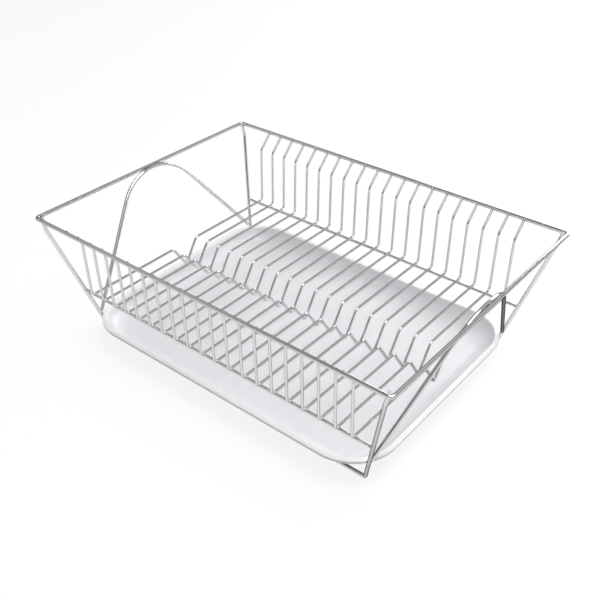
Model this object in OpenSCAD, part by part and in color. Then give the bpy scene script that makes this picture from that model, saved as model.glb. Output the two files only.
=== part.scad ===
// Dish drying rack: a welded wire basket on four leaning legs, with a loose drip tray between them.
// X runs along the rack, Y from the front to the back, and Z up from the table.

/* [Rack] */
// Length over the top rim
rack_l = 484.4; // [420:0.2:560]
// Width over the top rim
rack_w = 347; // [320:1:380]
// Height from the table to the top of the rim
rack_h = 166; // [158:1:193]
// Thickness of the rim, leg and arch wires
frame_d = 4.4; // [3.6:0.1:5]
// Gap left at a welded joint between two wires
weld_gap = 0.06; // [0.02:0.01:0.2]

/* [Legs] */
// How far the feet stand in from the ends of the rim
foot_inset_l = 49.3; // [32:0.1:62]
// How far the feet stand in from the long sides of the rim
foot_inset_w = 43; // [36:0.1:52]
// Bend radius of the wire at the feet
foot_bend = 4.5; // [4:0.5:12]
// Upright stretch at the top of each leg
knee_drop = 14; // [11:0.5:22]
// Bend radius of the wire below the upright stretch
knee_bend = 14; // [8:1:30]
// How far the cut ends of the legs stop below the top of the rim
leg_end_drop = 0.7; // [0.2:0.1:2]

/* [End arches] */
// Radius of the round top of each arch
arch_top_bend = 66; // [45:1:80]
// How far below the top of the tray the middle lines of arch and leg would meet
arch_meet_drop = 1.7; // [0:0.1:2]

/* [Lower rails] */
// Thickness of the two lower rails
rail_d = 3.5; // [3:0.1:4.4]
// Height of the lower rails above the table
rail_h = 66.8; // [62:0.1:74]

/* [Ribs] */
// Number of ribs
rib_count = 20; // [14:1:22]
// Thickness of the rib wire
rib_d = 3; // [2.5:0.1:3.4]
// Distance from the outermost ribs to the ends of the lower rails
rib_margin = 17.8; // [13:0.1:38]
// How far the upper end of a rib's upright stretch stands in from the rim
rib_inset = 19; // [16:0.1:24]
// How much further in the upright stretch stands at the floor
rib_flare = 1.5; // [0:0.1:3]
// Lean of the rib ends, measured from upright
rib_lean = 45; // [38:1:50]
// Bend radius under the leaning rib ends
rib_top_bend = 10; // [4:0.5:12]
// Bend radius where a rib turns into the floor
rib_floor_bend = 4.6; // [3.5:0.1:6]

/* [Plate groove] */
// Width of the groove between its two crests
groove_w = 41; // [34:0.5:50]
// Depth of the groove below the rib floor
groove_depth = 31; // [20:0.5:33]
// Bend radius at the two crests
groove_crest_bend = 7; // [4:0.5:9]
// Bend radius at the bottom of the groove
groove_bottom_bend = 3.6; // [2.5:0.1:6]

/* [Drip tray] */
// Height of the tray from its underside to the top of its rim
tray_h = 20; // [19:0.5:24]
// Wall of the tray
tray_wall = 2; // [1.5:0.1:2.6]
// How far the tray reaches out past the legs at its short ends
tray_over_l = 8.6; // [6:0.1:11]
// How far the tray reaches out past the legs at its long sides
tray_over_w = 20.2; // [16:0.1:22]
// Clearance between the tray corners and the four leaning legs that seat them
tray_gap = 0.5; // [0.4:0.1:2]
// Height at which the legs hold the tray above the two bottom wires
tray_lift = 8.3; // [7:0.1:9]
// Width of the flat rim of the tray
tray_rim = 6; // [4:0.1:8]
// Drop of the turned-down lip round the rim
lip_drop = 3; // [2.5:0.1:5]
// Thickness of the turned-down lip
lip_t = 1.6; // [1.2:0.1:2]
// Slope of the tray wall above the horizontal
wall_slope = 68; // [60:1:72]
// Radius of the hollow between the wall and the floor
cove_r = 22; // [16:1:25]
// Radius of the outside corner between the wall and the underside
heel_r = 20; // [12:1:22]

/* [Hidden] */
frame_r = frame_d / 2;
rail_r = rail_d / 2;
rib_r = rib_d / 2;
weld_step = frame_d + weld_gap;
arc_steps = 8;
// Length of the band that closes a join in a wire, and what it adds to the wire's diameter
band_w = 0.1;
band_rise = 0.02;
$fn = 32;

// Middle line of the rim
rim_x = rack_l / 2 - frame_r;
rim_y = rack_w / 2 - frame_r;
rim_z = rack_h - frame_r;
rim_bend = weld_step + 0.15;

// Both legs and the arch of one end lie in one plane that leans inward by end_lean.
foot_x = rim_x - foot_inset_l;
foot_y = rim_y - foot_inset_w;
foot_z = frame_r + band_rise / 2;
leg_rise = rim_z - foot_z;
end_lean = acos(weld_step / norm([foot_inset_l, leg_rise])) - atan2(leg_rise, foot_inset_l);
leg_y = rim_y - weld_step;
knee_z = rim_z - knee_drop;
side_slope = (leg_y - foot_y) / (knee_z - foot_z);
function end_x(z) = foot_x + (z - foot_z) * tan(end_lean);
function side_y(z) = z > knee_z ? leg_y : foot_y + (z - foot_z) * side_slope;

// Places within the leaning end plane: across the rack, and down the slope from the rim
function down(z) = (rim_z - z) / cos(end_lean);
function on_end(across, s) = [end_x(rim_z) - s * sin(end_lean), across, rim_z - s * cos(end_lean)];

// Heights of the tray: its underside, its top and the lower edge of its lip
tray_z = frame_d + tray_lift;
tray_top = tray_z + tray_h;
lip_z = tray_top - lip_drop;

// The arch: a round top and two straight legs that leave it at a tangent and end above the tray
arch_foot_h = tray_top - arch_meet_drop;
arch_foot_y = side_y(arch_foot_h);
arch_foot_s = down(arch_foot_h) - arch_top_bend;
arch_fall = atan2(arch_foot_s, arch_foot_y) + asin(arch_top_bend / norm([arch_foot_y, arch_foot_s]));
arch_peak_s = down(arch_foot_h) - arch_foot_y * tan(arch_fall);
arch_meet = 90 - arch_fall + atan(side_slope * cos(end_lean));
arch_trim = (frame_r * (1 + cos(arch_meet)) + weld_gap) / sin(arch_meet);

// Lower rails, butted against the legs
rail_y = side_y(rail_h);
rail_end_x = end_x(rail_h - rail_r) - frame_r / cos(end_lean) - weld_gap;

// Ribs
rib_span = 2 * (rail_end_x - rib_margin);
rib_pitch = rib_span / (rib_count - 1);
floor_z = rail_h + rail_r + rib_r + weld_gap;
tip_y = rim_y - (frame_r + weld_gap) * sin(rib_lean);
tip_z = rim_z - (frame_r + weld_gap) * cos(rib_lean);
rib_y = rim_y - rib_inset;
rib_floor_y = rib_y - rib_flare;
kink_z = tip_z - (tip_y - rib_y) / tan(rib_lean);

// Drip tray
tray_x = end_x(lip_z) + tray_over_l;
tray_y = side_y(lip_z) + tray_over_w;
// The corner radius that leaves tray_gap to the leg at the lower edge of the tray's lip
corner_reach = frame_r + tray_gap;
corner_sum = tray_over_l + tray_over_w + corner_reach;
corner_rest = tray_over_l ^ 2 + tray_over_w ^ 2 - corner_reach ^ 2;
tray_corner = corner_sum + sqrt(corner_sum ^ 2 - corner_rest);
// Distances inward from the tray's outer edge
inner_foot = tray_rim + (tray_h - tray_wall) / tan(wall_slope);
outer_foot = tray_rim + tray_h / tan(wall_slope) - tray_wall / sin(wall_slope);
cove_run = cove_r * tan(wall_slope / 2);
heel_run = heel_r * tan(wall_slope / 2);
floor_in = inner_foot + cove_run;
edge_r = tray_wall * 0.45;
// Outer face of the wall right under the rim
under_rim = outer_foot - (tray_h - tray_wall) / tan(wall_slope);

rib_names = [for (i = [1 : rib_count]) str("rib_", i < 10 ? "0" : "", i)];

function unit(v) = v / norm(v);
function flip_y(p) = [for (q = p) [q.x, -q.y, q.z]];
function flip_x(p) = [for (q = p) [-q.x, q.y, q.z]];

// Turn of the wire at the point b, and the length of wire that its bend takes on each side
function turn(a, b, c) = acos(unit(b - a) * unit(c - b));
function bend_run(a, b, c, r) = r * tan(turn(a, b, c) / 2);

// Places a shape drawn along Z from the origin so that it runs along u, with its X axis along x
module along(origin, u, x) {
    y = cross(u, x);
    multmatrix([
        [x.x, y.x, u.x, origin.x],
        [x.y, y.y, u.y, origin.y],
        [x.z, y.z, u.z, origin.z]
    ])
        children();
}

// Straight stretch of wire from a to b
module straight(a, b, d) {
    u = unit(b - a);
    side = abs(u.x) < 0.7 ? [1, 0, 0] : [0, 0, 1];
    along(a, u, unit(cross(side, u))) cylinder(d = d, h = norm(b - a));
}

// Bend of radius r at the corner b, on the way from a to c
module bend(a, b, c, r, d) {
    u = unit(b - a);
    v = unit(c - b);
    inward = unit(v - u * (u * v));
    centre = b - u * bend_run(a, b, c, r) + inward * r;
    // The bend starts on the local X axis and turns towards local Y, which is the wire's way in.
    multmatrix([
        [-inward.x, u.x, cross(u, inward).x, centre.x],
        [-inward.y, u.y, cross(u, inward).y, centre.y],
        [-inward.z, u.z, cross(u, inward).z, centre.z]
    ])
        rotate_extrude(angle = turn(a, b, c)) translate([r, 0]) circle(d = d);
}

// Hair-thin band that closes the join between a straight stretch and a bend
module band(at, u, d) {
    straight(at - u * band_w / 2, at + u * band_w / 2, d + band_rise);
}

// A wire bent through the points p, with one bend radius in r for each inner point
module wire(p, r, d) {
    last = len(p) - 1;
    runs = [for (i = [0 : last]) i == 0 || i == last ? 0 : bend_run(p[i - 1], p[i], p[i + 1], r[i - 1])];
    union() {
        for (i = [0 : last - 1]) {
            u = unit(p[i + 1] - p[i]);
            straight(p[i] + u * runs[i], p[i + 1] - u * runs[i + 1], d);
        }
        for (i = [1 : last - 1]) {
            bend(p[i - 1], p[i], p[i + 1], r[i - 1], d);
            into = unit(p[i] - p[i - 1]);
            out = unit(p[i + 1] - p[i]);
            band(p[i] - into * runs[i], into, d);
            band(p[i] + out * runs[i], out, d);
        }
    }
}

// A closed wire through the points p, bent to the radius r at each
module wire_ring(p, r, d) {
    n = len(p);
    runs = [for (i = [0 : n - 1]) bend_run(p[(i + n - 1) % n], p[i], p[(i + 1) % n], r)];
    union() {
        for (i = [0 : n - 1]) {
            j = (i + 1) % n;
            u = unit(p[j] - p[i]);
            straight(p[i] + u * runs[i], p[j] - u * runs[j], d);
            bend(p[(i + n - 1) % n], p[i], p[j], r, d);
        }
    }
}

// Rectangular rim of one wire
module top_rim() {
    corners = [
        [-rim_x, -rim_y, rim_z],
        [rim_x, -rim_y, rim_z],
        [rim_x, rim_y, rim_z],
        [-rim_x, rim_y, rim_z]
    ];
    color([0.78, 0.79, 0.8]) wire_ring(corners, rim_bend, frame_d);
}

// Right half of the rear leg frame, from its cut end down to the foot
leg_top_z = rack_h - leg_end_drop;
leg_half = [
    [end_x(leg_top_z), leg_y, leg_top_z],
    [end_x(knee_z), leg_y, knee_z],
    [foot_x, foot_y, foot_z]
];
leg_bends = [knee_bend, foot_bend, foot_bend, knee_bend];
leg_path = concat(leg_half, [for (i = [2 : -1 : 0]) flip_x(leg_half)[i]]);

// One wire: down from a corner, along the table and up to the next corner
module front_leg_frame() {
    color([0.75, 0.76, 0.78]) wire(flip_y(leg_path), leg_bends, frame_d);
}

module rear_leg_frame() {
    color([0.75, 0.76, 0.78]) wire(leg_path, leg_bends, frame_d);
}

// Right arch, from the end of its front leg over the peak to the end of its rear leg
arch_end_y = arch_foot_y - arch_trim * cos(arch_fall);
arch_end_s = down(arch_foot_h) - arch_trim * sin(arch_fall);
arch_path = [on_end(-arch_end_y, arch_end_s), on_end(0, arch_peak_s), on_end(arch_end_y, arch_end_s)];

module left_arch() {
    color([0.76, 0.77, 0.79]) wire(flip_x(arch_path), [arch_top_bend], frame_d);
}

module right_arch() {
    color([0.76, 0.77, 0.79]) wire(arch_path, [arch_top_bend], frame_d);
}

module front_lower_rail() {
    color([0.6, 0.61, 0.63]) straight([-rail_end_x, -rail_y, rail_h], [rail_end_x, -rail_y, rail_h], rail_d);
}

module rear_lower_rail() {
    color([0.6, 0.61, 0.63]) straight([-rail_end_x, rail_y, rail_h], [rail_end_x, rail_y, rail_h], rail_d);
}

// Bent cross wire: leaning end, near-upright side, floor, plate groove, and the same again
module rib(i) {
    x = -rib_span / 2 + (i - 1) * rib_pitch;
    half = [
        [x, -tip_y, tip_z],
        [x, -rib_y, kink_z],
        [x, -rib_floor_y, floor_z],
        [x, -groove_w / 2, floor_z]
    ];
    bottom = [x, 0, floor_z - groove_depth];
    path = concat(half, [bottom], [for (k = [3 : -1 : 0]) flip_y(half)[k]]);
    side_bends = [rib_top_bend, rib_floor_bend, groove_crest_bend];
    bends = concat(side_bends, [groove_bottom_bend], [for (k = [2 : -1 : 0]) side_bends[k]]);
    color([0.8, 0.81, 0.82]) wire(path, bends, rib_d);
}

function arc(centre, r, from, to) =
    [for (i = [0 : arc_steps]) let (a = from + (to - from) * i / arc_steps) centre + r * [cos(a), sin(a)]];

// Cut through the tray's edge: x is 0 at the outer edge and negative inward, y is 0 at the underside
edge_section = concat(
    [[0, tray_h - lip_drop]],
    arc([-edge_r, tray_h - edge_r], edge_r, 0, 90),
    arc([-tray_rim + edge_r, tray_h - edge_r], edge_r, 90, 90 + wall_slope),
    arc([-floor_in, tray_wall + cove_r], cove_r, wall_slope - 90, -90),
    [[-floor_in, 0]],
    arc([-outer_foot - heel_run, heel_r], heel_r, -90, wall_slope - 90),
    [[-under_rim, tray_h - tray_wall], [-lip_t, tray_h - tray_wall], [-lip_t, tray_h - lip_drop]]
);

// Shallow dish with rounded corners, a flat rim and a turned-down lip
module drip_tray() {
    corner_x = tray_x - tray_corner;
    corner_y = tray_y - tray_corner;
    color([0.93, 0.93, 0.94]) translate([0, 0, tray_z]) union() {
        // Quarter turns of the edge at the corners: place along X, place along Y, start angle
        for (q = [[1, 1, 0], [-1, 1, 90], [-1, -1, 180], [1, -1, 270]])
            translate([q.x * corner_x, q.y * corner_y, 0]) rotate([0, 0, q.z])
                rotate_extrude(angle = 90) translate([tray_corner, 0]) polygon(edge_section);
        // Straight runs between them: which way the side faces, its distance out, half its length
        for (side = [
            [0, tray_x, corner_y], [90, tray_y, corner_x],
            [180, tray_x, corner_y], [270, tray_y, corner_x]
        ])
            rotate([0, 0, side.x]) translate([side.y, side.z, 0]) rotate([90, 0, 0])
                linear_extrude(2 * side.z) polygon(edge_section);
        linear_extrude(tray_wall) floor_plan(corner_x, corner_y, tray_corner - floor_in);
    }
}

module floor_plan(half_x, half_y, r) {
    square([2 * half_x, 2 * (half_y + r)], center = true);
    square([2 * (half_x + r), 2 * half_y], center = true);
    for (sx = [-1, 1]) for (sy = [-1, 1]) translate([sx * half_x, sy * half_y]) circle(r = r);
}

top_rim();
front_leg_frame();
rear_leg_frame();
left_arch();
right_arch();
front_lower_rail();
rear_lower_rail();
for (i = [1 : rib_count]) rib(i);
drip_tray();
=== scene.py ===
"""Dish drying rack: bright welded wire over a white drip tray, laid out as an add-on.

Every place comes from the CAD frame or from the sizes in the property groups. Units are metres.
"""

import math
import random

import bmesh
import bpy
from bpy.props import FloatProperty, FloatVectorProperty, IntProperty
from mathutils import Matrix, Vector, noise


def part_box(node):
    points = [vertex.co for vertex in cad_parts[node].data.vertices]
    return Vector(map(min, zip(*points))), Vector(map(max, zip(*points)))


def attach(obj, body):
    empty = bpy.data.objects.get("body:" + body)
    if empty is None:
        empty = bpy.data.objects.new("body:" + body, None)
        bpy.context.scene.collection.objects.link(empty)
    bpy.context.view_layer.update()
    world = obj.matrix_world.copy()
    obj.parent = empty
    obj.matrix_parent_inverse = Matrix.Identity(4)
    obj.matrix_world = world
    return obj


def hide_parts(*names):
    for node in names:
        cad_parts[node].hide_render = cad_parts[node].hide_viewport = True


bl_info = {
    "name": "Dish Drying Rack",
    "version": (1, 0, 0),
    "blender": (4, 5, 0),
    "location": "View3D > Sidebar > Dish Rack",
    "description": "Builds a welded wire dish rack and its drip tray around a CAD frame",
    "category": "Object",
}

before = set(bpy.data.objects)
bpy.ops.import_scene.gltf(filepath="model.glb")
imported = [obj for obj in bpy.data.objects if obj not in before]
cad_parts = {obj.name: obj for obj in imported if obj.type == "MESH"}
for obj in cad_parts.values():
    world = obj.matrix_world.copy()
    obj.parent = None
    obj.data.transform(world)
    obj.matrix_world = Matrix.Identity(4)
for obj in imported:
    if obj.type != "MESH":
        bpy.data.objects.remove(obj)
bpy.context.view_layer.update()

RACK_BODY = "rack"
TRAY_BODY = "tray"
RIB_NODES = sorted(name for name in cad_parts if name.startswith("rib_"))

# Half sizes of the weld beads along X, Y and Z, before each is turned about Z at random
RIB_TIP_BEAD = (0.0016, 0.0013, 0.0013)
RIM_TOP_BEAD = (0.0014, 0.0009, 0.0013)
RAIL_BEAD = (0.0014, 0.0014, 0.0008)
LEG_TOP_BEAD = (0.0018, 0.0013, 0.0021)
RAIL_END_BEAD = (0.0013, 0.0019, 0.0019)
ARCH_FOOT_BEAD = (0.0019, 0.0017, 0.0020)
ARCH_TOP_BEAD = (0.0012, 0.0030, 0.0015)

# How far a bead's centre stands off the point where the wires meet
RIM_TOP_IN = 0.0004
RIM_TOP_UP = 0.0006
LEG_TOP_DOWN = 0.001
RAIL_END_OUT = 0.0003
ARCH_FOOT_OUT = 0.0008

# Heights in the studio where its tones lie, as the sine of the angle above the horizon
MID_HEIGHT = 0.28
HIGH_HEIGHT = 0.72
CEILING_HEIGHT = 0.9

# Soft boxes: place and size in metres, and the setting that holds the power
LAMPS = {
    "top_soft_box": ((0.45, 0.1, 1.7), (0.9, 0.9), "top_power"),
    "front_soft_box": ((0.5, -0.6, 1.6), (0.8, 0.6), "front_power"),
    "rear_soft_box": ((0.0, 1.8, 0.7), (1.6, 0.8), "rear_power"),
}
LAMP_AIM = Vector((0, 0, 0.08))


def node_size(node, axis):
    """Length of a CAD node along an axis, 0 for X to 2 for Z"""
    low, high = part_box(node)
    return high[axis] - low[axis]


# ---------------------------------------------------------------- settings


class RackWireSettings(bpy.types.PropertyGroup):
    """Sizes of the rim, legs, arches and rails"""

    frame_d: FloatProperty(
        name="Frame wire", description="Thickness of the rim, leg and arch wires",
        default=node_size("top_rim", 2), unit="LENGTH")
    rail_d: FloatProperty(
        name="Rail wire", description="Thickness of the two lower rails",
        default=node_size("front_lower_rail", 2), unit="LENGTH")
    weld_gap: FloatProperty(
        name="Weld gap", description="Gap that the frame leaves at a welded joint",
        default=0.00006, unit="LENGTH", precision=6)
    rim_bend: FloatProperty(
        name="Rim bend", description="Bend radius at the corners of the rim",
        default=0.00461, unit="LENGTH")
    knee_drop: FloatProperty(
        name="Knee drop", description="Upright stretch at the top of each leg",
        default=0.014, unit="LENGTH")
    knee_bend: FloatProperty(
        name="Knee bend", description="Bend radius below the upright stretch of a leg",
        default=0.014, unit="LENGTH")
    foot_bend: FloatProperty(
        name="Foot bend", description="Bend radius at the feet", default=0.0045, unit="LENGTH")
    arch_bend: FloatProperty(
        name="Arch bend", description="Radius of the round top of each arch",
        default=0.066, unit="LENGTH")
    end_chamfer: FloatProperty(
        name="End chamfer", description="Broken edge at the cut end of a wire",
        default=0.00035, unit="LENGTH", precision=5)
    wire_sides: IntProperty(
        name="Wire sides", description="Faces around each wire", default=20, min=12, max=48)


class RibSettings(bpy.types.PropertyGroup):
    """Shape of the bent cross ribs"""

    rib_d: FloatProperty(
        name="Rib wire", description="Thickness of the rib wire",
        default=node_size("rib_01", 0), unit="LENGTH")
    inset: FloatProperty(
        name="Upright inset", description="How far the top of the upright stands in from the rim",
        default=0.019, unit="LENGTH")
    flare: FloatProperty(
        name="Upright flare", description="How much further in the upright stands at the floor",
        default=0.0015, unit="LENGTH")
    lean: FloatProperty(
        name="End lean", description="Lean of the rib ends, from upright",
        default=math.radians(45), subtype="ANGLE")
    top_bend: FloatProperty(
        name="Top bend", description="Bend radius under the leaning ends",
        default=0.010, unit="LENGTH")
    floor_bend: FloatProperty(
        name="Floor bend", description="Bend radius where a rib turns into the floor",
        default=0.0046, unit="LENGTH")
    groove_w: FloatProperty(
        name="Groove width", description="Width of the plate groove between its crests",
        default=0.041, unit="LENGTH")
    groove_depth: FloatProperty(
        name="Groove depth", description="Depth of the plate groove below the rib floor",
        default=0.031, unit="LENGTH")
    crest_bend: FloatProperty(
        name="Crest bend", description="Bend radius at the two crests of the groove",
        default=0.007, unit="LENGTH")
    bottom_bend: FloatProperty(
        name="Bottom bend", description="Bend radius at the bottom of the groove",
        default=0.0036, unit="LENGTH")


class TraySettings(bpy.types.PropertyGroup):
    """Section and corners of the moulded drip tray"""

    wall: FloatProperty(
        name="Wall", description="Wall of the tray", default=0.002, unit="LENGTH")
    corner: FloatProperty(
        name="Corner radius", description="Radius of the outer edge at the corners",
        default=0.05425, unit="LENGTH")
    rim: FloatProperty(
        name="Rim width", description="Width of the flat rim", default=0.006, unit="LENGTH")
    lip_drop: FloatProperty(
        name="Lip drop", description="Drop of the turned-down lip", default=0.003, unit="LENGTH")
    lip_t: FloatProperty(
        name="Lip thickness", description="Thickness of the turned-down lip",
        default=0.0016, unit="LENGTH")
    slope: FloatProperty(
        name="Wall slope", description="Slope of the wall above the horizontal",
        default=math.radians(68), subtype="ANGLE")
    cove: FloatProperty(
        name="Cove radius", description="Radius of the hollow between the wall and the floor",
        default=0.022, unit="LENGTH")
    heel: FloatProperty(
        name="Heel radius", description="Radius of the outside corner under the wall",
        default=0.020, unit="LENGTH")
    edge: FloatProperty(
        name="Edge radius", description="Rounding of the two edges of the flat rim",
        default=0.0009, unit="LENGTH", precision=5)


class FinishSettings(bpy.types.PropertyGroup):
    """Colours and gloss of the two materials"""

    steel: FloatVectorProperty(
        name="Steel", description="Colour of the bright plated wire",
        default=(0.77, 0.774, 0.782), subtype="COLOR", min=0, max=1)
    steel_worn: FloatVectorProperty(
        name="Drawn steel", description="Colour along the faint drawing marks of the wire",
        default=(0.68, 0.684, 0.692), subtype="COLOR", min=0, max=1)
    weld: FloatVectorProperty(
        name="Weld", description="Colour of the small weld beads",
        default=(0.36, 0.365, 0.38), subtype="COLOR", min=0, max=1)
    cut: FloatVectorProperty(
        name="Cut end", description="Colour of the cropped ends of the wires",
        default=(0.62, 0.624, 0.632), subtype="COLOR", min=0, max=1)
    plastic: FloatVectorProperty(
        name="Tray", description="Colour of the moulded tray",
        default=(0.745, 0.75, 0.765), subtype="COLOR", min=0, max=1)
    # Painted light: the rim is the same plastic as the tray, given a much brighter colour so that
    # its flat top reads as brightly lit
    plastic_rim_painted_light: FloatVectorProperty(
        name="Tray rim", description="Colour of the thick flat rim of the tray",
        default=(0.98, 0.98, 0.98), subtype="COLOR", min=0, max=1)
    edge_tint: FloatVectorProperty(
        name="Steel edge", description="Tint of the plating where it is seen at a glancing angle",
        default=(0.03, 0.03, 0.035), subtype="COLOR", min=0, max=1)
    plastic_shade: FloatVectorProperty(
        name="Tray flow", description="Second colour of the faint flow marks in the tray",
        default=(0.73, 0.735, 0.753), subtype="COLOR", min=0, max=1)


class StageSettings(bpy.types.PropertyGroup):
    """Floor, lamps and camera"""

    azimuth: FloatProperty(
        name="Azimuth", description="Turn of the camera around the rack",
        default=math.radians(39.178), subtype="ANGLE")
    elevation: FloatProperty(
        name="Elevation", description="Height angle of the camera",
        default=math.radians(35.062), subtype="ANGLE")
    roll: FloatProperty(
        name="Roll", description="Roll of the camera about its axis",
        default=math.radians(-0.169), subtype="ANGLE")
    distance: FloatProperty(
        name="Distance", description="Distance from the camera to the point it looks at",
        default=0.8018, unit="LENGTH")
    aim_x: FloatProperty(
        name="Aim X", description="Point looked at in the plane of the rim, along the rack",
        default=0.0918, unit="LENGTH")
    aim_y: FloatProperty(
        name="Aim Y", description="Point looked at in the plane of the rim, across the rack",
        default=-0.1092, unit="LENGTH")
    lens: FloatProperty(
        name="Lens", description="Focal length in millimetres", default=49.895, min=10)
    floor_size: FloatProperty(
        name="Floor size", description="Side of the square floor", default=12.0, unit="LENGTH")
    floor: FloatVectorProperty(
        name="Floor", description="Colour of the floor as it is seen",
        default=(0.96, 0.96, 0.96), subtype="COLOR", min=0, max=1)
    floor_bounce: FloatVectorProperty(
        name="Floor bounce", description="Colour of the light that the floor throws back up",
        default=(0.44, 0.44, 0.445), subtype="COLOR", min=0, max=1)
    whiteness: FloatProperty(
        name="Floor whiteness", description="Share of plain white in the floor as it is seen",
        default=0.86, min=0, max=1)
    wall_low: FloatVectorProperty(
        name="Studio low", description="Brightness of the studio at the horizon",
        default=(0.92, 0.92, 0.925), subtype="COLOR", min=0, max=1)
    wall_mid: FloatVectorProperty(
        name="Studio middle", description="Brightness of the studio part of the way up",
        default=(0.02, 0.02, 0.021), subtype="COLOR", min=0, max=1)
    wall_high: FloatVectorProperty(
        name="Studio high", description="Brightness of the studio below the ceiling",
        default=(0.68, 0.68, 0.685), subtype="COLOR", min=0, max=1)
    ceiling: FloatVectorProperty(
        name="Studio ceiling", description="Brightness of the studio straight overhead",
        default=(0.02, 0.02, 0.021), subtype="COLOR", min=0, max=1)
    top_power: FloatProperty(
        name="Top lamp", description="Power of the lamp above the right half", default=22,
        min=0, unit="POWER")
    front_power: FloatProperty(
        name="Front lamp", description="Power of the lamp above and in front", default=3.5,
        min=0, unit="POWER")
    rear_power: FloatProperty(
        name="Rear lamp", description="Power of the low lamp behind", default=21.5,
        min=0, unit="POWER")


# ---------------------------------------------------------------- geometry


def unit(vector):
    """The same direction with a length of 1"""
    return vector.normalized()


def rounded(corners, radii, closed=False, step=math.radians(7)):
    """Centre line through the corners, each turned with its own bend radius

    A closed line has one radius for each corner, and an open one has none for its two ends.
    """
    count = len(corners)
    points = []
    for i, corner in enumerate(corners):
        if not closed and i in (0, count - 1):
            points.append(corner.copy())
            continue
        into = unit(corner - corners[i - 1])
        out = unit(corners[(i + 1) % count] - corner)
        radius = radii[i] if closed else radii[i - 1]
        turn = into.angle(out)
        run = radius * math.tan(turn / 2)
        inward = unit(out - into * into.dot(out))
        centre = corner - into * run + inward * radius
        steps = max(3, math.ceil(turn / step))
        for k in range(steps + 1):
            angle = turn * k / steps
            points.append(centre + (into * math.sin(angle) - inward * math.cos(angle)) * radius)
    return points


def steady_frames(path, closed):
    """Direction and sideways axis at each point of a line, with no twist along it"""
    count = len(path)
    tangents = []
    for i in range(count):
        before = path[i - 1] if closed or i else path[0]
        after = path[(i + 1) % count] if closed or i < count - 1 else path[-1]
        tangents.append(unit(after - before))
    side = Vector((0, 0, 1)) if abs(tangents[0].z) < 0.7 else Vector((1, 0, 0))
    normal = unit(side - tangents[0] * side.dot(tangents[0]))
    normals = [normal]
    for before, tangent in zip(tangents, tangents[1:]):
        normal = before.rotation_difference(tangent) @ normal
        normal = unit(normal - tangent * normal.dot(tangent))
        normals.append(normal)
    return tangents, normals


def tube(name, path, diameter, sides, closed=False, chamfer=0.0):
    """Round wire along a centre line, with chamfered ends where it is open"""
    radius = diameter / 2
    tangents, normals = steady_frames(path, closed)
    frames = [(*place, radius) for place in zip(path, tangents, normals)]
    if not closed:
        for end, inward in ((0, 1), (-1, -1)):
            centre, tangent, normal, _ = frames[end]
            frames[end] = (centre + tangent * inward * chamfer, tangent, normal, radius)
            cut = (centre, tangent, normal, radius - chamfer)
            frames.insert(0 if inward > 0 else len(frames), cut)
    mesh = bmesh.new()
    rings = []
    for centre, tangent, normal, r in frames:
        across = tangent.cross(normal)
        ring = []
        for k in range(sides):
            angle = 2 * math.pi * k / sides
            spoke = normal * math.cos(angle) + across * math.sin(angle)
            ring.append(mesh.verts.new(centre + spoke * r))
        rings.append(ring)
    spans = len(rings) if closed else len(rings) - 1
    for i in range(spans):
        near, far = rings[i], rings[(i + 1) % len(rings)]
        at_end = not closed and i in (0, spans - 1)
        for k in range(sides):
            j = (k + 1) % sides
            face = mesh.faces.new((near[k], near[j], far[j], far[k]))
            face.material_index = int(at_end)
    if not closed:
        for ring in (rings[0], rings[-1]):
            mesh.faces.new(ring).material_index = 1
    bmesh.ops.recalc_face_normals(mesh, faces=mesh.faces)
    return finish_mesh(name, mesh)


def finish_mesh(name, mesh, sharp=math.radians(40)):
    """Object from a bmesh, smooth except across sharp edges"""
    data = bpy.data.meshes.new(name)
    mesh.to_mesh(data)
    mesh.free()
    data.shade_smooth()
    data.set_sharp_from_angle(angle=sharp)
    made = bpy.data.objects.new(name, data)
    bpy.context.scene.collection.objects.link(made)
    return made


def flip(points, x=1, y=1):
    """The points mirrored where x or y is -1"""
    return [Vector((p.x * x, p.y * y, p.z)) for p in points]


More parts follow.
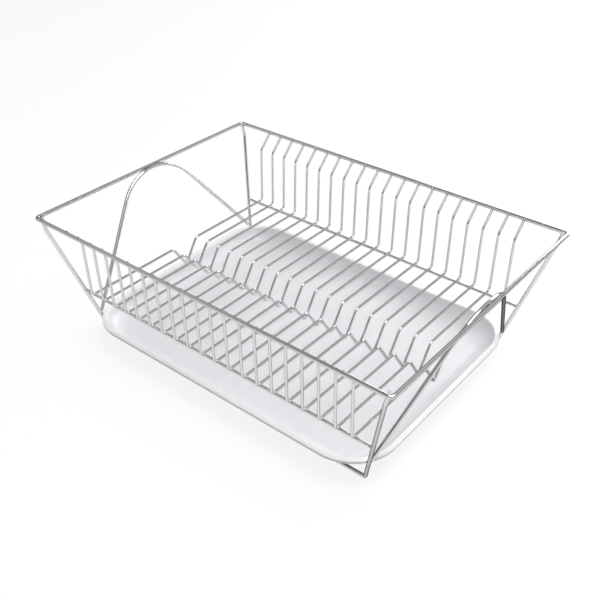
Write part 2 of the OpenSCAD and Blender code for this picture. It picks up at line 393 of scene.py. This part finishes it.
class RackPlan:
    """Places of the wires, worked out from the CAD boxes and the sizes"""

    def __init__(self, wires, ribs):
        self.wires = wires
        self.ribs = ribs
        self.r = wires.frame_d / 2
        r = self.r
        rim_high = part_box("top_rim")[1]
        self.rim_x = rim_high.x - r
        self.rim_y = rim_high.y - r
        self.rim_z = rim_high.z - r
        leg_low, leg_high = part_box("rear_leg_frame")
        self.leg_y = leg_high.y - r
        self.foot_y = leg_low.y + r
        self.foot_z = leg_low.z + r
        rail_low, rail_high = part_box("rear_lower_rail")
        self.rail_r = wires.rail_d / 2
        self.rail_y = (rail_low.y + rail_high.y) / 2
        self.rail_z = (rail_low.z + rail_high.z) / 2
        self.rail_end = rail_high.x
        # The end plane passes through the leg tops and, below, just outside the rail ends.
        # Its lean moves both of these points a little, so it is found in a few rounds.
        self.lean = 0.0
        for _ in range(8):
            self.leg_top = leg_high.z - r * math.sin(self.lean)
            top_x = leg_high.x - r * math.cos(self.lean)
            low_x = self.rail_end + r / math.cos(self.lean) + wires.weld_gap
            low_z = self.rail_z - self.rail_r
            self.lean = math.atan2(top_x - low_x, self.leg_top - low_z)
        self.end_at_rim = top_x + (self.rim_z - self.leg_top) * math.tan(self.lean)
        self.knee_z = self.rim_z - wires.knee_drop

    def end_x(self, z):
        """How far out the right end plane lies at a height"""
        return self.end_at_rim + (z - self.rim_z) * math.tan(self.lean)

    def on_end(self, across, slope_run):
        """Point in the right end plane: across the rack, and down the slope from the rim"""
        drop = slope_run * math.cos(self.lean)
        return Vector((self.end_x(self.rim_z - drop), across, self.rim_z - drop))

    def rim(self):
        """Closed rectangle"""
        corners = [
            Vector((sx * self.rim_x, sy * self.rim_y, self.rim_z))
            for sx, sy in ((-1, -1), (1, -1), (1, 1), (-1, 1))
        ]
        return rounded(corners, [self.wires.rim_bend] * 4, closed=True)

    def leg(self, y):
        """From the left rim corner down, along the table and up to the right corner"""
        half = [
            Vector((self.end_x(self.leg_top), self.leg_y, self.leg_top)),
            Vector((self.end_x(self.knee_z), self.leg_y, self.knee_z)),
            Vector((self.end_x(self.foot_z), self.foot_y, self.foot_z)),
        ]
        bends = [self.wires.knee_bend, self.wires.foot_bend]
        path = half + list(reversed(flip(half, x=-1)))
        return flip(rounded(path, bends + bends[::-1]), y=y)

    def arch(self, x):
        """From the front foot up to a round top under the rim, and down to the rear foot

        The legs fall at an angle that depends on where their cut ends lie, and the cut
        ends' places depend on that angle, so both are found in a few rounds.
        """
        low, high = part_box("right_arch")
        bend = self.wires.arch_bend
        fall = math.radians(53)  # first guess
        for _ in range(12):
            end_y = high.y - self.r * math.sin(fall)
            end_z = low.z + self.r * math.cos(fall) * math.cos(self.lean)
            run = (self.rim_z - end_z) / math.cos(self.lean)
            below = run - bend
            fall = math.atan2(below, end_y) + math.asin(bend / math.hypot(end_y, below))
        peak = run - end_y * math.tan(fall)
        corners = [self.on_end(-end_y, run), self.on_end(0, peak), self.on_end(end_y, run)]
        return flip(rounded(corners, [bend]), x=x)

    def rail(self, y):
        """Straight from the left to the right"""
        ends = (-self.rail_end, self.rail_end)
        return [Vector((x, y * self.rail_y, self.rail_z)) for x in ends]

    def rib_points(self):
        """Corners from the front tip to the first crest, and the bottom of the groove"""
        ribs, r = self.ribs, self.ribs.rib_d / 2
        gap = self.wires.weld_gap
        floor_z = self.rail_z + self.rail_r + r + gap
        tip_y = self.rim_y - (self.r + gap) * math.sin(ribs.lean)
        tip_z = self.rim_z - (self.r + gap) * math.cos(ribs.lean)
        side_y = self.rim_y - ribs.inset
        kink_z = tip_z - (tip_y - side_y) / math.tan(ribs.lean)
        half = [
            Vector((0, -tip_y, tip_z)),
            Vector((0, -side_y, kink_z)),
            Vector((0, -(side_y - ribs.flare), floor_z)),
            Vector((0, -ribs.groove_w / 2, floor_z)),
        ]
        return half, Vector((0, 0, floor_z - ribs.groove_depth))

    def rib(self, x):
        """From the front tip over the floor and the groove to the rear tip"""
        ribs = self.ribs
        half, bottom = self.rib_points()
        bends = [ribs.top_bend, ribs.floor_bend, ribs.crest_bend]
        path = half + [bottom] + list(reversed(flip(half, y=-1)))
        line = rounded(path, bends + [ribs.bottom_bend] + bends[::-1])
        return [p + Vector((x, 0, 0)) for p in line]


# ---------------------------------------------------------------- materials


def node_material(name):
    """Empty node material with a Principled shader, and its node tree and shader"""
    material = bpy.data.materials.new(name)
    material.use_nodes = True
    tree = material.node_tree
    tree.nodes.clear()
    output = tree.nodes.new("ShaderNodeOutputMaterial")
    shader = tree.nodes.new("ShaderNodeBsdfPrincipled")
    tree.links.new(shader.outputs["BSDF"], output.inputs["Surface"])
    return material, tree, shader


def object_noise(tree, scale, detail, stretch=(1, 1, 1)):
    """Noise fixed to the piece, stretched along chosen axes"""
    place = tree.nodes.new("ShaderNodeTexCoord")
    mapping = tree.nodes.new("ShaderNodeMapping")
    mapping.inputs["Scale"].default_value = stretch
    pattern = tree.nodes.new("ShaderNodeTexNoise")
    pattern.inputs["Scale"].default_value = scale
    pattern.inputs["Detail"].default_value = detail
    tree.links.new(place.outputs["Object"], mapping.inputs["Vector"])
    tree.links.new(mapping.outputs["Vector"], pattern.inputs["Vector"])
    return pattern.outputs["Fac"]


def blend_colours(tree, shader, factor, first, second):
    """Base colour between the first, at factor 0, and the second"""
    mix = tree.nodes.new("ShaderNodeMix")
    mix.data_type = "RGBA"
    mix.inputs["A"].default_value = (*first, 1)
    mix.inputs["B"].default_value = (*second, 1)
    tree.links.new(factor, mix.inputs["Factor"])
    tree.links.new(mix.outputs["Result"], shader.inputs["Base Color"])


def vary_roughness(tree, shader, factor, low, high):
    """Roughness from low to high over the middle range of a noise"""
    spread = tree.nodes.new("ShaderNodeMapRange")
    spread.inputs["From Min"].default_value = 0.3
    spread.inputs["From Max"].default_value = 0.7
    spread.inputs["To Min"].default_value = low
    spread.inputs["To Max"].default_value = high
    tree.links.new(factor, spread.inputs["Value"])
    tree.links.new(spread.outputs["Result"], shader.inputs["Roughness"])


def add_bump(tree, shader, height, distance, strength):
    """Fine relief on the surface"""
    bump = tree.nodes.new("ShaderNodeBump")
    bump.inputs["Distance"].default_value = distance
    bump.inputs["Strength"].default_value = strength
    tree.links.new(height, bump.inputs["Height"])
    tree.links.new(bump.outputs["Normal"], shader.inputs["Normal"])


def bright_steel(name, colour, worn, roughness=(0.10, 0.22), grain=420):
    """Polished drawn wire: nearly mirror bright, with faint uneven drawing marks"""
    material, tree, shader = node_material(name)
    edge_tint = bpy.context.scene.rack_finish.edge_tint
    shader.inputs["Metallic"].default_value = 1.0
    shader.inputs["Specular Tint"].default_value = (*edge_tint, 1)
    marks = object_noise(tree, scale=grain, detail=3)
    haze = object_noise(tree, scale=grain / 3, detail=2)
    relief = object_noise(tree, scale=grain * 3, detail=2)
    blend_colours(tree, shader, marks, worn, colour)
    vary_roughness(tree, shader, haze, *roughness)
    add_bump(tree, shader, relief, distance=0.00004, strength=0.25)
    return material


def moulded_plastic(name, colour, shade):
    """White moulded plastic: soft gloss over a very fine mould grain"""
    material, tree, shader = node_material(name)
    flow = object_noise(tree, scale=7, detail=2, stretch=(1, 1.6, 3))
    haze = object_noise(tree, scale=24, detail=2)
    grain = object_noise(tree, scale=420, detail=2)
    blend_colours(tree, shader, flow, shade, colour)
    vary_roughness(tree, shader, haze, low=0.30, high=0.36)
    add_bump(tree, shader, grain, distance=0.00003, strength=0.06)
    return material


def get_finish(key):
    """Material by key, made on first use from the colours in the settings"""
    found = bpy.data.materials.get(key)
    if found:
        return found
    colours = bpy.context.scene.rack_finish
    if key == "bright_steel_wire":
        return bright_steel(key, colours.steel, colours.steel_worn)
    if key == "weld_bead_steel":
        return bright_steel(
            key, colours.weld, colours.cut, roughness=(0.25, 0.45), grain=900)
    if key == "cropped_wire_end":
        return bright_steel(
            key, colours.cut, colours.weld, roughness=(0.35, 0.55), grain=1500)
    if key == "moulded_tray_plastic":
        return moulded_plastic(key, colours.plastic, colours.plastic_shade)
    # The rim material is the tray plastic painted brighter, which is painted light on the flat
    # top of the rim
    if key == "moulded_tray_rim":
        return moulded_plastic(key, colours.plastic_rim_painted_light, colours.plastic)
    raise ValueError(f"no finish is called {key}")


# ---------------------------------------------------------------- operators


def place_wire(name, node, path, diameter, closed=False):
    """One finished wire that stands for its CAD node and rides on the rack"""
    wires = bpy.context.scene.rack_wires
    made = tube(name, path, diameter, wires.wire_sides, closed, wires.end_chamfer)
    made.data.materials.append(get_finish("bright_steel_wire"))
    made.data.materials.append(get_finish("cropped_wire_end"))
    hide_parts(node)
    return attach(made, RACK_BODY)


def current_plan():
    """Plan for the sizes that are set now"""
    scene = bpy.context.scene
    return RackPlan(scene.rack_wires, scene.rack_ribs)


def middle_x(node):
    """Place of a CAD node's middle along the rack"""
    low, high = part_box(node)
    return (low.x + high.x) / 2


class RACK_OT_top_rim(bpy.types.Operator):
    """Bends the closed rectangular rim"""

    bl_idname = "rack.top_rim"
    bl_label = "Top Rim"

    def execute(self, context):
        plan = current_plan()
        place_wire("rim_wire", "top_rim", plan.rim(),
                   plan.wires.frame_d, closed=True)
        return {"FINISHED"}


class RACK_OT_leg_frames(bpy.types.Operator):
    """Bends the front and the rear leg frame"""

    bl_idname = "rack.leg_frames"
    bl_label = "Leg Frames"

    def execute(self, context):
        plan = current_plan()
        for side, y in (("front", -1), ("rear", 1)):
            place_wire(f"{side}_leg_wire", f"{side}_leg_frame", plan.leg(y),
                       plan.wires.frame_d)
        return {"FINISHED"}


class RACK_OT_arches(bpy.types.Operator):
    """Bends the arch at each end"""

    bl_idname = "rack.arches"
    bl_label = "End Arches"

    def execute(self, context):
        plan = current_plan()
        for side, x in (("left", -1), ("right", 1)):
            place_wire(f"{side}_arch_wire", f"{side}_arch", plan.arch(x),
                       plan.wires.frame_d)
        return {"FINISHED"}


class RACK_OT_lower_rails(bpy.types.Operator):
    """Places the two straight rails under the ribs"""

    bl_idname = "rack.lower_rails"
    bl_label = "Lower Rails"

    def execute(self, context):
        plan = current_plan()
        for side, y in (("front", -1), ("rear", 1)):
            place_wire(f"{side}_rail_wire", f"{side}_lower_rail", plan.rail(y),
                       plan.wires.rail_d)
        return {"FINISHED"}


class RACK_OT_ribs(bpy.types.Operator):
    """Bends every cross rib with its plate groove"""

    bl_idname = "rack.ribs"
    bl_label = "Ribs"

    def execute(self, context):
        plan = current_plan()
        for node in RIB_NODES:
            place_wire(f"{node}_wire", node, plan.rib(middle_x(node)),
                       plan.ribs.rib_d)
        return {"FINISHED"}


class RACK_OT_welds(bpy.types.Operator):
    """Sets the small weld beads where the wires cross"""

    bl_idname = "rack.welds"
    bl_label = "Weld Beads"

    def execute(self, context):
        plan = current_plan()
        mesh = bmesh.new()
        for centre, size in self.places(plan):
            self.bead(mesh, centre, size)
        made = finish_mesh("weld_beads", mesh, sharp=math.radians(70))
        made.data.materials.append(get_finish("weld_bead_steel"))
        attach(made, RACK_BODY)
        return {"FINISHED"}

    @staticmethod
    def bead(mesh, centre, size):
        """A low uneven bead of metal pressed out between two wires"""
        steps = [round(part * 1e5) for part in centre]
        spin = random.Random(steps[0] * 7 + steps[1] * 3 + steps[2])
        turn = Matrix.Rotation(spin.uniform(0, math.pi), 4, "Z")
        place = Matrix.Translation(centre) @ turn @ Matrix.Diagonal((*size, 1))
        drop = bmesh.ops.create_icosphere(mesh, subdivisions=2, radius=1.0, matrix=place)
        ripple_scale, ripple_depth = 900, 0.14
        for vert in drop["verts"]:
            wave = noise.noise(vert.co * ripple_scale)
            vert.co = centre + (vert.co - centre) * (1 + ripple_depth * wave)

    @staticmethod
    def places(plan):
        """Centre and half sizes of every bead"""
        r = plan.r
        half, _ = plan.rib_points()
        tip = half[0]
        rail_top = plan.rail_z + plan.rail_r
        end_x = plan.end_x(plan.rim_z)
        found = []
        for node in RIB_NODES:
            x = middle_x(node)
            for y in (-1, 1):
                rim_top = (x, y * (plan.rim_y - r - RIM_TOP_IN), plan.rim_z + RIM_TOP_UP)
                found += [
                    (Vector((x, -y * tip.y, tip.z)), RIB_TIP_BEAD),
                    (Vector(rim_top), RIM_TOP_BEAD),
                    (Vector((x, y * plan.rail_y, rail_top)), RAIL_BEAD),
                ]
        for sx in (-1, 1):
            for sy in (-1, 1):
                foot = plan.arch(sx)[-1 if sy > 0 else 0]
                foot_weld = (foot.x, foot.y + sy * ARCH_FOOT_OUT, foot.z)
                leg_top = (sx * end_x, sy * (plan.leg_y + r), plan.rim_z - LEG_TOP_DOWN)
                rail_end = (sx * (plan.rail_end + RAIL_END_OUT), sy * plan.rail_y, plan.rail_z)
                found += [
                    (Vector(leg_top), LEG_TOP_BEAD),
                    (Vector(rail_end), RAIL_END_BEAD),
                    (Vector(foot_weld), ARCH_FOOT_BEAD),
                ]
            found.append((Vector((sx * (end_x + r), 0, plan.rim_z)), ARCH_TOP_BEAD))
        return found


class RACK_OT_drip_tray(bpy.types.Operator):
    """Moulds the drip tray"""

    bl_idname = "rack.drip_tray"
    bl_label = "Drip Tray"

    def execute(self, context):
        tray = context.scene.rack_tray
        low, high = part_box("drip_tray")
        section = self.section(tray, high.z - low.z)
        mesh = bmesh.new()
        loops = [self.loop(mesh, tray.corner, high.x, high.y, inset, low.z + z)
                 for inset, z in section]
        rim_depth = tray.rim + tray.edge
        for i, (near, far) in enumerate(zip(loops, loops[1:])):
            inset = max(section[i][0], section[i + 1][0])
            # Faces on the rim get the second material: the tray plastic painted brighter, as
            # painted light
            on_rim = inset < rim_depth and section[i][1] > tray.wall
            for k in range(len(near)):
                j = (k + 1) % len(near)
                face = mesh.faces.new((near[k], near[j], far[j], far[k]))
                face.material_index = int(on_rim)
        mesh.faces.new(loops[0])
        mesh.faces.new(list(reversed(loops[-1])))
        bmesh.ops.recalc_face_normals(mesh, faces=mesh.faces)
        made = finish_mesh("moulded_tray", mesh, sharp=math.radians(50))
        made.data.materials.append(get_finish("moulded_tray_plastic"))
        made.data.materials.append(get_finish("moulded_tray_rim"))
        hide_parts("drip_tray")
        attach(made, TRAY_BODY)
        return {"FINISHED"}

    @staticmethod
    def arc(centre, radius, start, end, steps):
        """Points of an arc in the cut, with angles from the outward side up"""
        points = []
        for k in range(steps + 1):
            angle = start + (end - start) * k / steps
            inset = centre[0] - radius * math.cos(angle)
            points.append((inset, centre[1] + radius * math.sin(angle)))
        return points

    def section(self, tray, height):
        """Cut through the edge, from the floor over the rim to the underside

        Each point is its distance in from the outer edge and its height.
        """
        up = math.pi / 2
        slope = tray.slope
        inner_foot = tray.rim + (height - tray.wall) / math.tan(slope)
        floor_in = inner_foot + tray.cove * math.tan(slope / 2)
        outer_foot = tray.rim + height / math.tan(slope) - tray.wall / math.sin(slope)
        heel_in = outer_foot + tray.heel * math.tan(slope / 2)
        under_rim = outer_foot - (height - tray.wall) / math.tan(slope)
        edge = tray.edge
        cove = (floor_in, tray.wall + tray.cove)
        inner_edge = (tray.rim - edge, height - edge)
        outer_edge = (edge, height - edge)
        points = self.arc(cove, tray.cove, -up, slope - up, steps=14)
        points += self.arc(inner_edge, edge, up + slope, up, steps=5)
        points += self.arc(outer_edge, edge, up, 0, steps=6)
        points += [(0, height - tray.lip_drop), (tray.lip_t, height - tray.lip_drop)]
        points += [(tray.lip_t, height - tray.wall), (under_rim, height - tray.wall)]
        points += self.arc((heel_in, tray.heel), tray.heel, slope - up, -up, steps=12)
        return points

    @staticmethod
    def loop(mesh, corner, half_x, half_y, inset, z, steps=22):
        """Rounded rectangle, moved in from the outer edge by the inset"""
        radius = corner - inset
        ring = []
        for sx, sy, start in ((1, 1, 0), (-1, 1, 90), (-1, -1, 180), (1, -1, 270)):
            for k in range(steps + 1):
                angle = math.radians(start + 90 * k / steps)
                x = sx * (half_x - corner) + radius * math.cos(angle)
                y = sy * (half_y - corner) + radius * math.sin(angle)
                ring.append(mesh.verts.new((x, y, z)))
        return ring


class RACK_OT_stage(bpy.types.Operator):
    """Sets the floor, the lamps, the surroundings and the camera"""

    bl_idname = "rack.stage"
    bl_label = "Stage"

    def execute(self, context):
        settings = context.scene.rack_stage
        self.floor(settings)
        self.surroundings(context.scene, settings)
        self.lamps(settings)
        self.camera(context.scene, settings)
        return {"FINISHED"}

    @staticmethod
    def floor(settings):
        """Floor that is nearly white to the eye and in the metal, and throws less light up"""
        half = settings.floor_size / 2
        mesh = bmesh.new()
        corners = ((-half, -half), (half, -half), (half, half), (-half, half))
        mesh.faces.new([mesh.verts.new((x, y, 0)) for x, y in corners])
        made = finish_mesh("stage_floor", mesh)
        material, tree, shader = node_material("pale_floor")
        shader.inputs["Roughness"].default_value = 0.9
        shader.inputs["Specular IOR Level"].default_value = 0.0
        light_path = tree.nodes.new("ShaderNodeLightPath")
        seen = light_path.outputs["Is Camera Ray"]
        for kind in ("Is Glossy Ray", "Is Transmission Ray"):
            either = tree.nodes.new("ShaderNodeMath")
            either.operation = "MAXIMUM"
            tree.links.new(seen, either.inputs[0])
            tree.links.new(light_path.outputs[kind], either.inputs[1])
            seen = either.outputs["Value"]
        blend_colours(tree, shader, seen, settings.floor_bounce, settings.floor)
        share = tree.nodes.new("ShaderNodeMath")
        share.operation = "MULTIPLY"
        share.inputs[1].default_value = settings.whiteness
        tree.links.new(seen, share.inputs[0])
        white = tree.nodes.new("ShaderNodeEmission")
        mix = tree.nodes.new("ShaderNodeMixShader")
        tree.links.new(share.outputs["Value"], mix.inputs[0])
        tree.links.new(shader.outputs["BSDF"], mix.inputs[1])
        tree.links.new(white.outputs["Emission"], mix.inputs[2])
        tree.links.new(mix.outputs["Shader"], tree.nodes["Material Output"].inputs["Surface"])
        made.data.materials.append(material)

    @staticmethod
    def surroundings(scene, settings):
        """Studio: a pale horizon and a pale band high up, dark between and overhead"""
        world = bpy.data.worlds.new("studio_surroundings")
        world.use_nodes = True
        tree = world.node_tree
        tree.nodes.clear()
        output = tree.nodes.new("ShaderNodeOutputWorld")
        background = tree.nodes.new("ShaderNodeBackground")
        place = tree.nodes.new("ShaderNodeTexCoord")
        split = tree.nodes.new("ShaderNodeSeparateXYZ")
        ramp = tree.nodes.new("ShaderNodeValToRGB")
        stops = ramp.color_ramp.elements
        stops[0].color = (*settings.wall_low, 1)
        stops[1].position = CEILING_HEIGHT
        stops[1].color = (*settings.ceiling, 1)
        stops.new(MID_HEIGHT).color = (*settings.wall_mid, 1)
        stops.new(HIGH_HEIGHT).color = (*settings.wall_high, 1)
        tree.links.new(place.outputs["Generated"], split.inputs["Vector"])
        tree.links.new(split.outputs["Z"], ramp.inputs["Fac"])
        tree.links.new(ramp.outputs["Color"], background.inputs["Color"])
        tree.links.new(background.outputs["Background"], output.inputs["Surface"])
        scene.world = world

    @staticmethod
    def lamps(settings):
        """Soft boxes: one above, one above and in front, and one low behind"""
        for name, (place, size, power) in LAMPS.items():
            lamp = bpy.data.lights.new(name, "AREA")
            lamp.shape = "RECTANGLE"
            lamp.size, lamp.size_y = size
            lamp.energy = getattr(settings, power)
            holder = bpy.data.objects.new(name, lamp)
            holder.location = place
            aim = LAMP_AIM - Vector(place)
            holder.rotation_euler = aim.to_track_quat("-Z", "Y").to_euler()
            bpy.context.scene.collection.objects.link(holder)

    @staticmethod
    def camera(scene, settings):
        """Camera that looks at a point in the plane of the rim"""
        az, el, roll = settings.azimuth, settings.elevation, settings.roll
        back = Vector((math.sin(az) * math.cos(el), -math.cos(az) * math.cos(el), math.sin(el)))
        right = Vector((math.cos(az), math.sin(az), 0))
        up = back.cross(right)
        turned_right = right * math.cos(roll) + up * math.sin(roll)
        turned_up = up * math.cos(roll) - right * math.sin(roll)
        rim_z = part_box("top_rim")[1].z - scene.rack_wires.frame_d / 2
        aim = Vector((settings.aim_x, settings.aim_y, rim_z))
        data = bpy.data.cameras.new("studio_camera")
        data.lens = settings.lens
        data.sensor_width = 36.0
        camera = bpy.data.objects.new("studio_camera", data)
        axes = Matrix((turned_right, turned_up, back)).transposed().to_4x4()
        camera.matrix_world = Matrix.Translation(aim + back * settings.distance) @ axes
        scene.collection.objects.link(camera)
        scene.camera = camera


BUILD_ORDER = (
    RACK_OT_top_rim, RACK_OT_leg_frames, RACK_OT_arches, RACK_OT_lower_rails,
    RACK_OT_ribs, RACK_OT_welds, RACK_OT_drip_tray, RACK_OT_stage,
)


class RACK_PT_sidebar(bpy.types.Panel):
    """Lists the pieces of the rack and their sizes"""

    bl_idname = "RACK_PT_sidebar"
    bl_label = "Dish Rack"
    bl_space_type = "VIEW_3D"
    bl_region_type = "UI"
    bl_category = "Dish Rack"

    def draw(self, context):
        """Settings by group, then one button for each piece"""
        for name, group in SETTINGS.items():
            box = self.layout.box()
            box.label(text=group.__doc__)
            for key in group.__annotations__:
                box.prop(getattr(context.scene, name), key)
        for operator in BUILD_ORDER:
            self.layout.operator(operator.bl_idname)


SETTINGS = {
    "rack_wires": RackWireSettings,
    "rack_ribs": RibSettings,
    "rack_tray": TraySettings,
    "rack_finish": FinishSettings,
    "rack_stage": StageSettings,
}


def register():
    """Makes the settings, the operators and the panel known"""
    for group in SETTINGS.values():
        bpy.utils.register_class(group)
    for name, group in SETTINGS.items():
        setattr(bpy.types.Scene, name, bpy.props.PointerProperty(type=group))
    for operator in BUILD_ORDER:
        bpy.utils.register_class(operator)
    bpy.utils.register_class(RACK_PT_sidebar)


def unregister():
    """Takes them away again"""
    bpy.utils.unregister_class(RACK_PT_sidebar)
    for operator in reversed(BUILD_ORDER):
        bpy.utils.unregister_class(operator)
    for name, group in SETTINGS.items():
        delattr(bpy.types.Scene, name)
        bpy.utils.unregister_class(group)


def main():
    """Builds the whole scene"""
    register()
    bpy.context.scene.view_settings.view_transform = "Standard"
    bpy.ops.rack.top_rim()
    bpy.ops.rack.leg_frames()
    bpy.ops.rack.arches()
    bpy.ops.rack.lower_rails()
    bpy.ops.rack.ribs()
    bpy.ops.rack.welds()
    bpy.ops.rack.drip_tray()
    bpy.ops.rack.stage()


if __name__ == "__main__":
    main()
